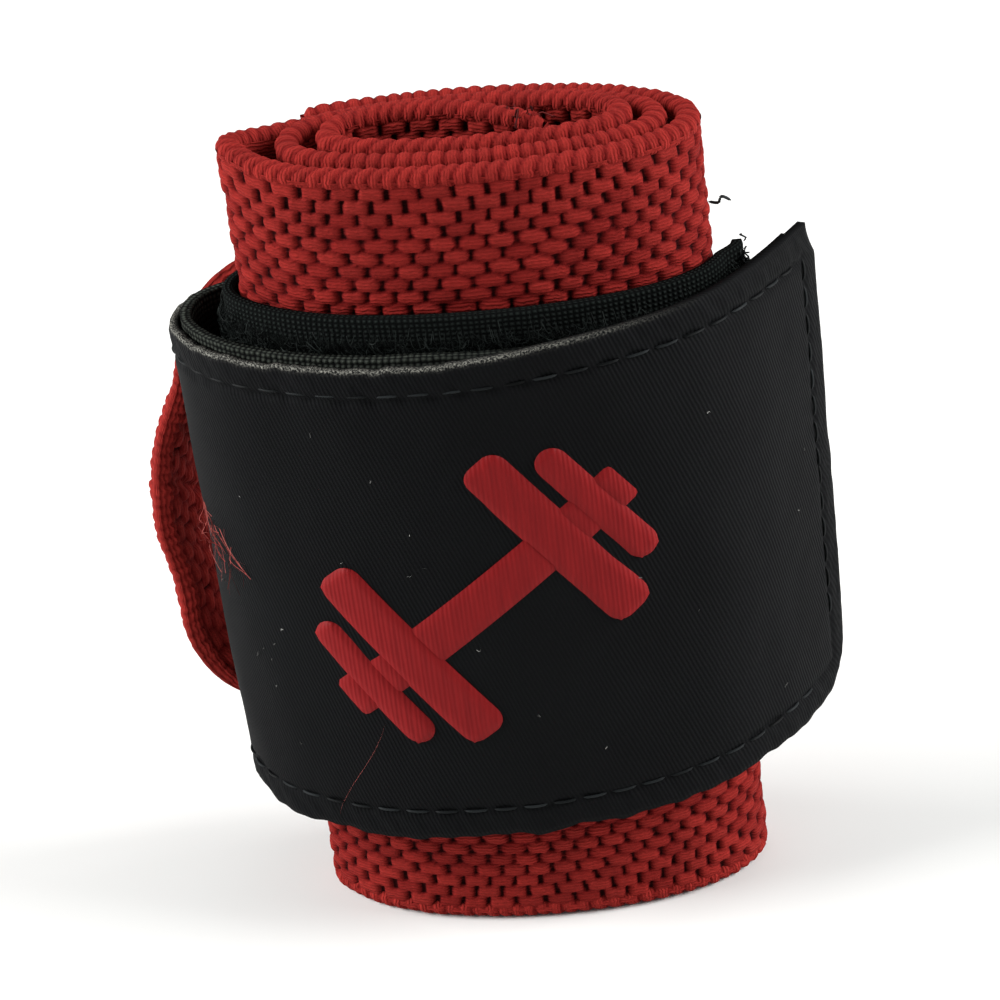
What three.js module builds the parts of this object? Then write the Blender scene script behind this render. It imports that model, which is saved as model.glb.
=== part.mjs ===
// A weightlifting wrist wrap, rolled up and standing on its edge: a woven elastic band wound into a flat oval roll,
// a loop-pile strip sewn to its outer face, a closing tab folded round the roll, a thumb loop and a plain emblem.
// Millimetres, +Z up. A bearing is in degrees from +X, anticlockwise seen from above, so the front is at 270.
// A turn is counted along the band from its inner end.

import * as THREE from "three";

// Elastic band
const bandWidth = 78;
const bandThickness = 2.2;
const turnsWound = 3.22;

// The roll: how the band is wound
const outerEndBearing = 128;
const hollowHalfWidth = 9; // to the band's inner face, where the winding starts
const hollowHalfDepth = 1.75;
const layerClearance = 0.3; // between two layers, on the flat sides
const bendFlattening = 0.26; // how much flatter each turn's bends are pressed than those of the turn inside it
const bendSlack = 1.3; // how much further apart they lie at the two bends
const leanRight = 2.8; // the upper rim stands this much to the left of the lower one
const leanFront = 2; // and this much behind it
const innerLift = 2; // how far the inner layers have slid up at most
const innerEndDip = 3.2; // how far the free inner end cuts into the hollow
const innerEndRun = 0.2; // in turns

// The pinched bend of the outer layer, on the left
const pinchBearing = 180;
const pinchReach = 1.5;
const pinchSpreadAngle = 26; // degrees

// Sewn cloth
const seamGap = 0.3; // between two pieces sewn face to face
const clothThickness = 1; // the tab's cover and its tape
const rimWidth = 0.7; // the thinner margin of each piece of cloth
const rimShare = 0.6; // its thickness at the very edge, as a share of the cloth's

// Loop-pile strip
const patchWidth = 50.8;
const patchThickness = 1.4;
const patchBottom = 14.1;
const patchFromBearing = 165;
const patchToBearing = 362;
const patchFlare = 1.3; // how far its cut end stands off the band
const patchFlareAngle = 14; // degrees

// Closing tab
const tabWidth = 49.4;
const tabBottom = 12;
const tabRise = 3; // the free end lies higher than the fold
const tabFoldReach = 4.3; // how far the fold stands off the roll beyond the tight lie
const tabFreeLength = 14.4;
const tabFreeAngle = 5; // degrees that the free end bends back on the way
const tabCornerRadius = 6.5;
const tapeInset = 0.4; // the tape's edges lie this far inside the cover's

// Thumb loop
const strapWidth = 9.4;
const strapThickness = 2.2;
const strapReach = 9.8; // how far its middle stands to the left of the roll
const strapBack = 13.3; // and behind the roll's middle
const strapTop = 59.5;
const strapLow = 17.6;

// Emblem: a dumbbell, set slantwise on the front of the tab
const emblemHeight = 37.8; // of its middle
const emblemAngle = 38; // degrees
const emblemLength = 35;
const emblemPlate = 21; // across its widest plates
const emblemThickness = 1;
const emblemRow = 8.75; // where its middle lies, in rows of tabRows
const emblemCuts = 3; // millimetres between its columns
const emblemRowsAcross = 3;
const emblemStep = 0.004; // share of half its length that the outline takes from one block to the next

// How finely the sheets are cut along their length
const bandColumns = 150;
const patchColumns = 46;
const tabColumns = 74;
const strapColumns = 44;
const waySteps = 400; // for measuring a way
const bendWeight = 6; // a radian of bend gets as many columns as this many millimetres

const band = new THREE.MeshStandardMaterial({ color: "#8f2422", roughness: 0.85, metalness: 0 });
const strap = new THREE.MeshStandardMaterial({ color: "#862321", roughness: 0.88, metalness: 0 });
const pile = new THREE.MeshStandardMaterial({ color: "#131514", roughness: 0.97, metalness: 0 });
const satin = new THREE.MeshStandardMaterial({ color: "#1a1f20", roughness: 0.6, metalness: 0 });
const tape = new THREE.MeshStandardMaterial({ color: "#161918", roughness: 0.85, metalness: 0 });
const thread = new THREE.MeshStandardMaterial({ color: "#8c1a1b", roughness: 0.5, metalness: 0 });

// How far each part of the band has slid up out of the roll, as a share of innerLift
const liftRows = [
  { turn: 0, lift: 0.45 },
  { turn: 0.11, lift: 1 },
  { turn: 0.36, lift: 0.6 },
  { turn: 0.61, lift: 0.35 },
  { turn: 1.11, lift: 0.58 },
  { turn: 1.61, lift: 0.17 },
  { turn: 2.11, lift: 0.15 },
  { turn: turnsWound - 1, lift: 0 },
];

// The tab's way round the roll. off is its stand-off beyond the tight lie, as a share of tabFoldReach, at its upper
// and lower edge; rise is a share of tabRise. Rows marked sewn lie on the outer end of the band.
const tabRows = [
  { bearing: 100, sewn: true, off: 0, offLow: 0, rise: 0 },
  { bearing: 113, sewn: true, off: 0, offLow: 0, rise: 0 },
  { bearing: 126, sewn: true, off: 0, offLow: 0, rise: 0 },
  { bearing: 150, off: 0.72, offLow: 0.6, rise: 0 },
  { bearing: 168, off: 1, offLow: 0.8, rise: 0 },
  { bearing: 179, off: 0.7, offLow: 0.5, rise: 0 },
  { bearing: 196, off: 0.22, offLow: 0.12, rise: 0 },
  { bearing: 222, off: 0, offLow: 0, rise: 0 },
  { bearing: 245, off: 0, offLow: 0, rise: 0.06 },
  { bearing: 270, off: 0, offLow: 0, rise: 0.2 },
  { bearing: 295, off: 0, offLow: 0, rise: 0.5 },
  { bearing: 320, off: 0, offLow: 0, rise: 0.8 },
  { bearing: 340, off: 0, offLow: 0, rise: 0.95 },
];

// The thumb loop's way. Its sewn rows lie on the tab's back, at so many rows of tabRows. In the others, out is a
// share of strapReach from the roll's left bend and back a share of strapBack. height is a share of the way from
// strapLow to strapTop, and facing the bearing that its flat side faces.
const strapRows = [
  { sewn: 0.4, height: 1, facing: 104 },
  { sewn: 1.5, height: 1, facing: 108 },
  { out: 0.22, back: 1.02, height: 0.93, facing: 128 },
  { out: 0.66, back: 0.99, height: 0.76, facing: 146 },
  { out: 0.98, back: 1, height: 0.61, facing: 155 },
  { out: 1.08, back: 1, height: 0.45, facing: 155 },
  { out: 1, back: 1, height: 0.25, facing: 155 },
  { out: 0.88, back: 1, height: 0.12, facing: 150 },
  { out: 0.56, back: 1, height: 0.04, facing: 136 },
  { out: 0.1, back: 1.02, height: 0.01, facing: 118 },
  { sewn: 1.5, height: 0, facing: 108 },
  { sewn: 0.4, height: 0, facing: 104 },
];

// The dumbbell's outline: each row runs from the last one's end to its own, as shares of half the length,
// and is so many shares of emblemPlate tall.
const emblemRows = [
  { to: 0.4, tall: 0.2 },
  { to: 0.66, tall: 1 },
  { to: 0.72, tall: 0.2 },
  { to: 0.9, tall: 0.7 },
  { to: 1, tall: 0.2 },
];

const { degToRad, lerp, smoothstep } = THREE.MathUtils;
const fullCircle = 360;
const step = 1e-3; // for slopes

// A column of a table at a place between its rows.
function tableValue(rows, key, column, at) {
  const next = rows.findIndex((row) => row[key] >= at);
  if (next < 0) return rows.at(-1)[column];
  if (next === 0) return rows[0][column];
  const [low, high] = [rows[next - 1], rows[next]];
  return lerp(low[column], high[column], (at - low[key]) / (high[key] - low[key]));
}

// The middle of the band's thickness in plan.
function bandPlan(turn, height) {
  const bearing = degToRad(outerEndBearing + fullCircle * (turn - turnsWound));
  const pitch = bandThickness + layerClearance;
  const pinchTurn = turnsWound - 1 + (pinchBearing - outerEndBearing) / fullCircle;
  const fromPinch = ((turn - pinchTurn) * fullCircle) / pinchSpreadAngle;
  const halfWidth =
    hollowHalfWidth + bandThickness / 2 + turn * (pitch + bendSlack) + pinchReach * Math.exp(-(fromPinch ** 2));
  const halfDepth = hollowHalfDepth + bandThickness / 2 + turn * pitch;
  const roundness = 1 - bendFlattening * turn;
  const across = Math.cos(bearing);
  const straight = across + (roundness / 2) * (across - across ** 3);
  const dip = innerEndDip * (1 - smoothstep(turn, 0, innerEndRun));
  const above = height / bandWidth;
  return new THREE.Vector2(
    (halfWidth - halfDepth) * straight + halfDepth * across - leanRight * above,
    halfDepth * Math.sin(bearing) - dip + leanFront * above,
  );
}

// A place at a distance outside the middle of the band.
function onBand(turn, height, outside) {
  const along = bandPlan(turn + step, height).sub(bandPlan(turn - step, height)).normalize();
  return bandPlan(turn, height).add(new THREE.Vector2(along.y, -along.x).multiplyScalar(outside));
}

// The turn of the outermost layer at a bearing past the band's outer end.
function outerTurn(bearing) {
  return turnsWound - 1 + (bearing - outerEndBearing) / fullCircle;
}

// Columns for a sheet, closer together where its way bends.
function bendColumns(count, way) {
  const reached = [0];
  let before = null;
  for (let i = 1; i <= waySteps; i++) {
    const run = way(i / waySteps).sub(way((i - 1) / waySteps));
    const bend = before ? Math.acos(Math.min(1, run.dot(before) / (run.length() * before.length()))) : 0;
    reached.push(reached.at(-1) + run.length() + bendWeight * bend);
    before = run;
  }
  return Array.from({ length: count + 1 }, (_, column) => {
    const wanted = (reached.at(-1) * column) / count;
    const high = Math.max(1, reached.findIndex((r) => r >= wanted - step));
    return (high - 1 + (wanted - reached[high - 1]) / (reached[high] - reached[high - 1])) / waySteps;
  });
}

// Rows across a sheet: its two edges, the inner sides of its rims, and some between.
function sheetRows(width, between) {
  const rim = rimWidth / width;
  const inner = Array.from({ length: between + 2 }, (_, i) => lerp(rim, 1 - rim, i / (between + 1)));
  return [
    { across: 0, full: rimShare },
    ...inner.map((across) => ({ across, full: 1 })),
    { across: 1, full: rimShare },
  ];
}

// A closed sheet of cloth. middle(along, across) is the middle of its thickness, with both from 0 to 1.
function sheet(name, material, { columns, rows, thickness, middle, upright }) {
  const positions = [];
  const limit = (value) => Math.min(1, Math.max(0, value));
  for (const along of columns) {
    for (const { across, full } of rows) {
      const run = middle(limit(along + step), across).sub(middle(limit(along - step), across));
      const rise = middle(along, limit(across + step)).sub(middle(along, limit(across - step)));
      const face = run.cross(rise);
      if (upright) face.z = 0;
      face.setLength((thickness * full) / 2);
      const place = middle(along, across);
      positions.push(...place.clone().add(face).toArray(), ...place.sub(face).toArray());
    }
  }
  const last = rows.length - 1;
  const outer = (column, row) => (column * rows.length + row) * 2;
  const inner = (column, row) => outer(column, row) + 1;
  const faces = [];
  const quad = (a, b, c, d) => faces.push(a, b, c, a, c, d);
  for (let c = 0; c < columns.length - 1; c++) {
    for (let r = 0; r < last; r++) {
      quad(outer(c, r), outer(c + 1, r), outer(c + 1, r + 1), outer(c, r + 1));
      quad(inner(c, r + 1), inner(c + 1, r + 1), inner(c + 1, r), inner(c, r));
    }
    quad(inner(c, 0), inner(c + 1, 0), outer(c + 1, 0), outer(c, 0));
    quad(outer(c, last), outer(c + 1, last), inner(c + 1, last), inner(c, last));
  }
  const end = columns.length - 1;
  for (let r = 0; r < last; r++) {
    quad(outer(0, r), outer(0, r + 1), inner(0, r + 1), inner(0, r));
    quad(inner(end, r), inner(end, r + 1), outer(end, r + 1), outer(end, r));
  }
  const geometry = new THREE.BufferGeometry();
  geometry.setAttribute("position", new THREE.Float32BufferAttribute(positions, 3));
  geometry.setIndex(faces);
  const mesh = new THREE.Mesh(geometry, material);
  mesh.name = name;
  return mesh;
}

function elasticBand() {
  const middle = (along, across) => {
    const turn = turnsWound * along;
    const lift = innerLift * tableValue(liftRows, "turn", "lift", turn);
    const plan = bandPlan(turn, bandWidth * across);
    return new THREE.Vector3(plan.x, plan.y, bandWidth * across + lift);
  };
  return sheet("elastic_band", band, {
    columns: bendColumns(bandColumns, (along) => bandPlan(turnsWound * along, 0)),
    rows: sheetRows(bandWidth, 2),
    thickness: bandThickness,
    middle,
    upright: true,
  });
}

function loopPatch() {
  const seat = bandThickness / 2 + seamGap + patchThickness / 2;
  const middle = (along, across) => {
    const bearing = lerp(patchFromBearing, patchToBearing, along);
    const flare = patchFlare * smoothstep(bearing, patchToBearing - patchFlareAngle, patchToBearing);
    const height = patchBottom + patchWidth * across;
    const plan = onBand(outerTurn(bearing), height, seat + flare);
    return new THREE.Vector3(plan.x, plan.y, height);
  };
  return sheet("loop_patch", pile, {
    columns: bendColumns(patchColumns, (along) => middle(along, 0)),
    rows: sheetRows(patchWidth, 1),
    thickness: patchThickness,
    middle,
    upright: true,
  });
}

// The way of the tab in plan at one height, halfway between its cover and its tape. lower is 0 at the tab's upper
// edge and 1 at its lower one.
function tabCurve(height, lower) {
  const halfTab = clothThickness + seamGap / 2;
  const sewnSeat = bandThickness / 2 + seamGap + halfTab;
  const tightSeat = bandThickness / 2 + seamGap + patchThickness + seamGap + halfTab;
  const places = tabRows.map(({ bearing, sewn, off, offLow }) => {
    if (sewn) return onBand(outerTurn(bearing) + 1, height, sewnSeat);
    return onBand(outerTurn(bearing), height, tightSeat + tabFoldReach * lerp(off, offLow, lower));
  });
  const leaves = places.at(-1);
  const way = onBand(outerTurn(tabRows.at(-1).bearing) + step, height, tightSeat)
    .sub(onBand(outerTurn(tabRows.at(-1).bearing) - step, height, tightSeat))
    .setLength(tabFreeLength / 2);
  const half = leaves.clone().add(way);
  way.rotateAround(new THREE.Vector2(), degToRad(tabFreeAngle));
  places.push(half, half.clone().add(way));
  return new THREE.CatmullRomCurve3(places.map((p) => new THREE.Vector3(p.x, p.y, 0)), false, "centripetal");
}

const tabTop = tabBottom + tabWidth;
const tabLowWay = tabCurve(tabBottom, 1);
const tabHighWay = tabCurve(tabTop, 0);
const tabLength = tabHighWay.getLength();
const tabLastRow = tabRows.length - 1 + 2; // two more places lie on the free end

// A place on the tab, at a distance outside the middle between its cover and its tape.
function onTab(along, height, outside) {
  const share = (height - tabBottom) / tabWidth;
  const low = Math.max(0, along - step);
  const high = Math.min(1, along + step);
  const at = (t) => tabLowWay.getPoint(t).lerp(tabHighWay.getPoint(t), share);
  const run = at(high).sub(at(low)).normalize();
  return at(along).add(new THREE.Vector3(run.y, -run.x, 0).multiplyScalar(outside)).setZ(height);
}

const riseRows = [...tabRows.map(({ rise }, row) => ({ row, rise })), { row: tabLastRow, rise: 1 }];

// One of the tab's two layers of cloth. inset draws its edges in.
function tabLayer(name, material, outside, inset) {
  const columns = bendColumns(tabColumns, (along) => onTab(along, tabTop, 0));
  const middle = (along, across) => {
    const toEnd = Math.min(tabCornerRadius, (1 - along) * tabLength);
    const corner = tabCornerRadius - Math.sqrt(tabCornerRadius ** 2 - (tabCornerRadius - toEnd) ** 2);
    const rise = tabRise * tableValue(riseRows, "row", "rise", along * tabLastRow);
    const height = lerp(tabBottom + inset + rise + corner, tabTop - inset + rise, across);
    const drawn = lerp(inset / tabLength, 1 - inset / tabLength, along);
    return onTab(drawn, height, outside);
  };
  return sheet(name, material, {
    columns,
    rows: sheetRows(tabWidth, 2),
    thickness: clothThickness,
    middle,
  });
}

function thumbLoop() {
  const seat = seamGap / 2 + clothThickness + seamGap + strapThickness / 2;
  const places = strapRows.map(({ sewn, out, back, height }) => {
    const z = lerp(strapLow, strapTop, height);
    if (sewn) return onTab(sewn / tabLastRow, z, seat);
    const leftBend = onBand(outerTurn(pinchBearing), z, bandThickness / 2).x;
    return new THREE.Vector3(leftBend - strapReach * out, strapBack * back + (leanFront * z) / bandWidth, z);
  });
  const facings = strapRows.map(({ facing }, row) => ({ row, facing }));
  const way = new THREE.CatmullRomCurve3(places, false, "centripetal");
  const middle = (along, across) => {
    const facing = tableValue(facings, "row", "facing", along * (strapRows.length - 1));
    const run = way.getTangent(along);
    const flat = new THREE.Vector3(Math.cos(degToRad(facing)), Math.sin(degToRad(facing)), 0);
    const width = flat.cross(run).setLength(strapWidth * (across - 0.5));
    return way.getPoint(along).add(width);
  };
  return sheet("thumb_loop", strap, {
    columns: bendColumns(strapColumns, (along) => way.getPoint(along)),
    rows: sheetRows(strapWidth, 0),
    thickness: strapThickness,
    middle,
  });
}

function emblem() {
  const halves = emblemRows.map(({ to, tall }, i) => ({ from: i ? emblemRows[i - 1].to : 0, to, tall }));
  const blocks = [...halves.map(({ from, to, tall }) => ({ from: -to, to: -from, tall })).reverse(), ...halves];
  const stops = blocks.flatMap(({ from, to, tall }) => {
    const cuts = Math.max(1, Math.round(((to - from) * emblemLength) / (2 * emblemCuts)));
    return Array.from({ length: cuts + 1 }, (_, i) => ({
      place: lerp(from + emblemStep, to - emblemStep, i / cuts),
      tall,
    }));
  });
  const columns = stops.map(({ place }) => (place + 1) / 2);
  const lengths = tabHighWay.getLengths(fullCircle);
  const frontLength = lengths[Math.round((fullCircle * emblemRow) / tabLastRow)];
  const slant = degToRad(emblemAngle);
  const outside = seamGap / 2 + clothThickness + seamGap + emblemThickness / 2;
  const middle = (along, across) => {
    const place = 2 * along - 1;
    const stop = stops.findLast((s) => s.place <= place + step / 2) ?? stops[0];
    const x = (place * emblemLength) / 2;
    const y = stop.tall * emblemPlate * (across - 0.5);
    const round = x * Math.cos(slant) - y * Math.sin(slant);
    const height = emblemHeight + x * Math.sin(slant) + y * Math.cos(slant);
    return onTab(tabHighWay.getUtoTmapping(0, frontLength + round), height, outside);
  };
  return sheet("emblem_dumbbell", thread, {
    columns,
    rows: Array.from({ length: emblemRowsAcross + 1 }, (_, i) => ({ across: i / emblemRowsAcross, full: 1 })),
    thickness: emblemThickness,
    middle,
  });
}

const clothOutside = seamGap / 2 + clothThickness / 2;
const wrap = new THREE.Group();
wrap.add(
  elasticBand(),
  loopPatch(),
  tabLayer("tab_cover", satin, clothOutside, 0),
  tabLayer("hook_tape", tape, -clothOutside, tapeInset),
  thumbLoop(),
  emblem(),
);

// The frame's origin is under the middle of the whole thing, on the surface that it stands on.
const extent = new THREE.Box3().setFromObject(wrap);
const middleOfAll = extent.getCenter(new THREE.Vector3());
wrap.position.set(-middleOfAll.x, -middleOfAll.y, -extent.min.z);

const wristWrap = new THREE.Group();
wristWrap.add(wrap);

export default wristWrap;
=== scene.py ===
import math
import bpy
import numpy as np
from mathutils import Matrix, Vector


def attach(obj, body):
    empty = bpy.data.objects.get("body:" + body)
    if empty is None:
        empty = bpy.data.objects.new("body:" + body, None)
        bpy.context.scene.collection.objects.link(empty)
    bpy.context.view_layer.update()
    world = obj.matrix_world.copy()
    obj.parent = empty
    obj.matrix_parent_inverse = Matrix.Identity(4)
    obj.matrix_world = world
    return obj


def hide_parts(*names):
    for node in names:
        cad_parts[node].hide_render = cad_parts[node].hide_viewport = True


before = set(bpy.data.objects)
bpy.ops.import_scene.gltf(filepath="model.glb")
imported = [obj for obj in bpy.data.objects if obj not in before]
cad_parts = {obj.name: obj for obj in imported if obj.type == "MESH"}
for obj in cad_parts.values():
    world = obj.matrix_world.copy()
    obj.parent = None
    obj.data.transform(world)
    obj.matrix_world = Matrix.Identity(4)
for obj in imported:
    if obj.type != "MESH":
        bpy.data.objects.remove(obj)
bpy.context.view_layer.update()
rng = np.random.default_rng(7)
print("frame loaded:", ", ".join(sorted(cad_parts)))

# All sizes below are in millimetres, and makeMesh turns them to metres.

roll = {
    "bandWidth": 78, "bandThickness": 2.2, "turnsWound": 3.22, "outerEndBearing": 128,
    "hollowHalfWidth": 9, "hollowHalfDepth": 1.75, "layerClearance": 0.3,
    "bendFlattening": 0.26, "bendSlack": 1.3, "leanRight": 2.8, "leanFront": 2,
    "innerLift": 2, "innerEndDip": 3.2, "innerEndRun": 0.2,
    "pinchBearing": 180, "pinchReach": 1.5, "pinchSpread": 26, "cornerLift": 1.2,
    "rightTurn": 2.864, "rightHug": 0.75,  # inner turns lie closer together in the right bend
    # of the whole wrap, so that its middle is at the origin
    "seamGap": 0.3, "originShift": (2.4484, -1.7646),
}
# How far each part of the inner rim stands up, as a share of innerLift
liftTurns = [0, 0.11, 0.36, 0.61, 1.11, 1.61, 2.11, 2.22]
liftShares = [0.45, 1, 0.6, 0.35, 0.58, 0.17, 0.15, 0]


def smoothStep(x, low, high):
    t = np.clip((x - low) / (high - low), 0, 1)
    return t * t * (3 - 2 * t)


def bandPlan(turn, height):  # middle of the band's thickness, seen from above
    bearing = np.radians(roll["outerEndBearing"] + 360 * (turn - roll["turnsWound"]))
    pitch = roll["bandThickness"] + roll["layerClearance"]
    pinchTurn = roll["turnsWound"] - 1 + (roll["pinchBearing"] - roll["outerEndBearing"]) / 360
    fromPinch = (turn - pinchTurn) * 360 / roll["pinchSpread"]
    halfWidth = (roll["hollowHalfWidth"] + roll["bandThickness"] / 2 + turn * (pitch + roll["bendSlack"])
                 + roll["pinchReach"] * np.exp(-fromPinch ** 2))
    halfDepth = roll["hollowHalfDepth"] + roll["bandThickness"] / 2 + turn * pitch
    across = np.cos(bearing)
    straight = across + (1 - roll["bendFlattening"] * turn) / 2 * (across - across ** 3)
    dip = roll["innerEndDip"] * (1 - smoothStep(turn, 0, roll["innerEndRun"]))
    above = height / roll["bandWidth"]
    hug = roll["rightHug"] * np.clip(roll["rightTurn"] - turn, 0, 2) * np.clip(across, 0, 1) ** 2
    hug = hug * smoothStep(turn, 0.1, 0.6)
    x = (halfWidth - halfDepth) * straight + halfDepth * across - roll["leanRight"] * above + hug
    y = halfDepth * np.sin(bearing) - dip + roll["leanFront"] * above
    return np.stack([x, y], -1)


def onBand(turn, height, outside):
    step = 1e-3
    run = bandPlan(turn + step, height) - bandPlan(turn - step, height)
    run /= np.linalg.norm(run, axis=-1, keepdims=True)
    return bandPlan(turn, height) + np.stack([run[..., 1], -run[..., 0]], -1) * np.asarray(outside)[..., None]


def outerTurn(bearing):
    return roll["turnsWound"] - 1 + (bearing - roll["outerEndBearing"]) / 360


def bandPlace(turn, height, outside):
    plan = onBand(turn, height, outside)
    lift = roll["innerLift"] * np.interp(turn, liftTurns, liftShares)
    fromPinch = (turn - outerTurn(roll["pinchBearing"] + 4)) * 360 / roll["pinchSpread"]
    lift = lift + roll["cornerLift"] * np.exp(-fromPinch ** 2) * smoothStep(height, 30, roll["bandWidth"])
    return np.concatenate([plan, (height + lift)[..., None]], -1)


def smoothWay(places):  # a centripetal curve through the places, for a share of 0 to 1
    p = np.array(places, float)
    p = np.vstack([2 * p[0] - p[1], p, 2 * p[-1] - p[-2]])

    def at(share):
        t = np.clip(np.asarray(share, float), 0, 1) * (len(p) - 3)
        i = np.minimum(t.astype(int), len(p) - 4)
        w = (t - i)[..., None]
        a, b, c, d = p[i], p[i + 1], p[i + 2], p[i + 3]
        ab, bc, cd = (np.maximum(np.linalg.norm(k, axis=-1, keepdims=True), 1e-8) ** 0.5 for k in (b - a,
                c - b, d - c))
        m1 = ((b - a) / ab - (c - a) / (ab + bc) + (c - b) / bc) * bc
        m2 = ((c - b) / bc - (d - b) / (bc + cd) + (d - c) / cd) * bc
        return b + m1 * w + (3 * (c - b) - 2 * m1 - m2) * w ** 2 + (2 * (b - c) + m1 + m2) * w ** 3

    return at


def reachOf(points):  # length reached at each point
    return np.concatenate([[0], np.cumsum(np.linalg.norm(np.diff(points, axis=0), axis=1))])


def lengthsAlong(way, count=2000):  # shares, and the length reached at each
    share = np.linspace(0, 1, count)
    return share, reachOf(way(share))


# Meshes

def makeMesh(name, points, quads, material, uv=None, values=None, smooth=True):
    points = np.asarray(points, float).reshape(-1, 3)
    points = (points + np.array([*roll["originShift"], 0])) / 1000
    quads = np.asarray(quads, int)
    mesh = bpy.data.meshes.new(name)
    mesh.vertices.add(len(points))
    mesh.vertices.foreach_set("co", points.astype(np.float32).ravel())
    mesh.loops.add(quads.size)
    mesh.loops.foreach_set("vertex_index", quads.astype(np.int32).ravel())
    mesh.polygons.add(len(quads))
    mesh.polygons.foreach_set("loop_start", np.arange(0, quads.size, quads.shape[1], dtype=np.int32))
    mesh.update(calc_edges=True)
    mesh.validate()
    mesh.polygons.foreach_set("use_smooth", np.full(len(mesh.polygons), smooth))
    if uv is not None:
        layer = mesh.uv_layers.new(name="flat")
        corners = np.zeros(len(mesh.loops), np.int32)
        mesh.loops.foreach_get("vertex_index", corners)
        layer.data.foreach_set("uv", np.asarray(uv, np.float32).reshape(-1, 2)[corners].ravel())
    for key, value in (values or {}).items():
        mesh.attributes.new(key, "FLOAT", "POINT").data.foreach_set("value",
                np.asarray(value, np.float32).ravel())
    mesh.materials.append(material)
    piece = bpy.data.objects.new(name, mesh)
    bpy.context.scene.collection.objects.link(piece)
    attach(piece, "root")
    return piece


def gridQuads(columns, rows, start=0, flip=False):
    i = np.arange((columns - 1) * (rows - 1))
    a = start + (i // (rows - 1)) * rows + i % (rows - 1)
    quads = np.stack([a, a + rows, a + rows + 1, a + 1], -1)
    return quads[:, ::-1] if flip else quads


# each is (points, uv, relief, fleck, flip), its points in columns and rows
def joinGrids(name, material, grids):
    points, uv, relief, fleck, quads, start = [], [], [], [], [], 0
    for grid in grids:
        columns, rows = grid[0].shape[:2]
        quads.append(gridQuads(columns, rows, start, grid[4]))
        points.append(grid[0].reshape(-1, 3))
        uv.append(grid[1].reshape(-1, 2))
        relief.append(np.broadcast_to(grid[2], (columns, rows)).ravel())
        fleck.append(np.broadcast_to(grid[3], (columns, rows)).ravel())
        start += columns * rows
    return makeMesh(name, np.concatenate(points), np.concatenate(quads), material, np.concatenate(uv),
                    {"relief": np.concatenate(relief), "fleck": np.concatenate(fleck)})


def closedSheet(name, place, along, across, outer, inner, uv, material, relief=1.0, fleck=0.5,
        innerRelief=1.0):
    a, b = np.meshgrid(along, across, indexing="ij")
    columns, rows = a.shape
    outerPoints, innerPoints = place(a, b, outer(a, b)), place(a, b, inner(a, b))
    points = np.concatenate([outerPoints.reshape(-1, 3), innerPoints.reshape(-1, 3)])
    n = columns * rows
    quads = [gridQuads(columns, rows), gridQuads(columns, rows, n, True)]
    index = np.arange(n).reshape(columns, rows)
    for line, flip in ((index[:, 0], True), (index[:, -1], False), (index[0], False), (index[-1], True)):
        edge = np.stack([line[:-1], line[1:], line[1:] + n, line[:-1] + n], -1)
        quads.append(edge[:, ::-1] if flip else edge)
    flat = uv(a, b).reshape(-1, 2)
    inwards = flat + [0, 1]  # so that a pattern runs on over the edge
    flatRelief = np.broadcast_to(relief, a.shape).ravel()
    values = {"relief": np.concatenate([flatRelief, flatRelief * innerRelief]),
              "fleck": np.tile(np.broadcast_to(fleck, a.shape).ravel(), 2)}
    return makeMesh(name, points, np.concatenate(quads), material, np.concatenate([flat, inwards]), values)


def tubeGrid(path, radii, sides):  # radii of shape (points,) or (points, sides)
    path = np.asarray(path, float)
    run = np.gradient(path, axis=0)
    run /= np.linalg.norm(run, axis=1, keepdims=True)
    up = np.where(np.abs(run[:, 2:]) > 0.9, np.array([[1.0, 0, 0]]), np.array([[0, 0, 1.0]]))
    side = np.cross(run, up)
    side /= np.linalg.norm(side, axis=1, keepdims=True)
    top = np.cross(side, run)
    angle = np.linspace(0, 2 * math.pi, sides + 1)
    radii = np.broadcast_to(np.asarray(radii, float).reshape(len(path), -1), (len(path), sides + 1))
    return (path[:, None] + radii[...,
            None] * (np.cos(angle)[None, :, None] * side[:, None] + np.sin(angle)[None, :, None] * top[:,
            None]))


def tubes(name, paths, radius, sides, material):  # radius may differ for each path
    grids = []
    for i, path in enumerate(paths):
        thick = radius[i] if np.ndim(radius) else radius
        shape = np.clip(np.sin(np.linspace(0.02, math.pi - 0.02, len(path))) * 3, 0.15, 1) * thick
        points = tubeGrid(path, shape, sides)
        u = np.broadcast_to(np.arange(len(path))[:, None] * 0.3, points.shape[:2])
        v = np.broadcast_to(np.linspace(0, 1, sides + 1)[None], points.shape[:2])
        grids.append((points, np.stack([u, v], -1), 1.0, rng.random(), False))
    return joinGrids(name, material, grids)


# Materials

def linear(hexColour):  # sRGB hex to linear
    parts = [int(hexColour[i:i + 2], 16) / 255 for i in (1, 3, 5)]
    return (*[c / 12.92 if c <= 0.04045 else ((c + 0.055) / 1.055) ** 2.4 for c in parts], 1)


def addNode(tree, kind, settings=None, links=None):
    made = tree.nodes.new(kind)
    for key, value in (settings or {}).items():
        if isinstance(key, int) or key in made.inputs:
            made.inputs[key].default_value = value
        else:
            setattr(made, key, value)
    for key, source in (links or {}).items():
        tree.links.new(source, made.inputs[key])
    return made


def newMaterial(name, settings):
    material = bpy.data.materials.new(name)
    material.use_nodes = True
    tree = material.node_tree
    tree.nodes.clear()
    shader = addNode(tree, "ShaderNodeBsdfPrincipled", settings)
    addNode(tree, "ShaderNodeOutputMaterial", {}, {"Surface": shader.outputs["BSDF"]})
    return material, tree, shader


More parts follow.
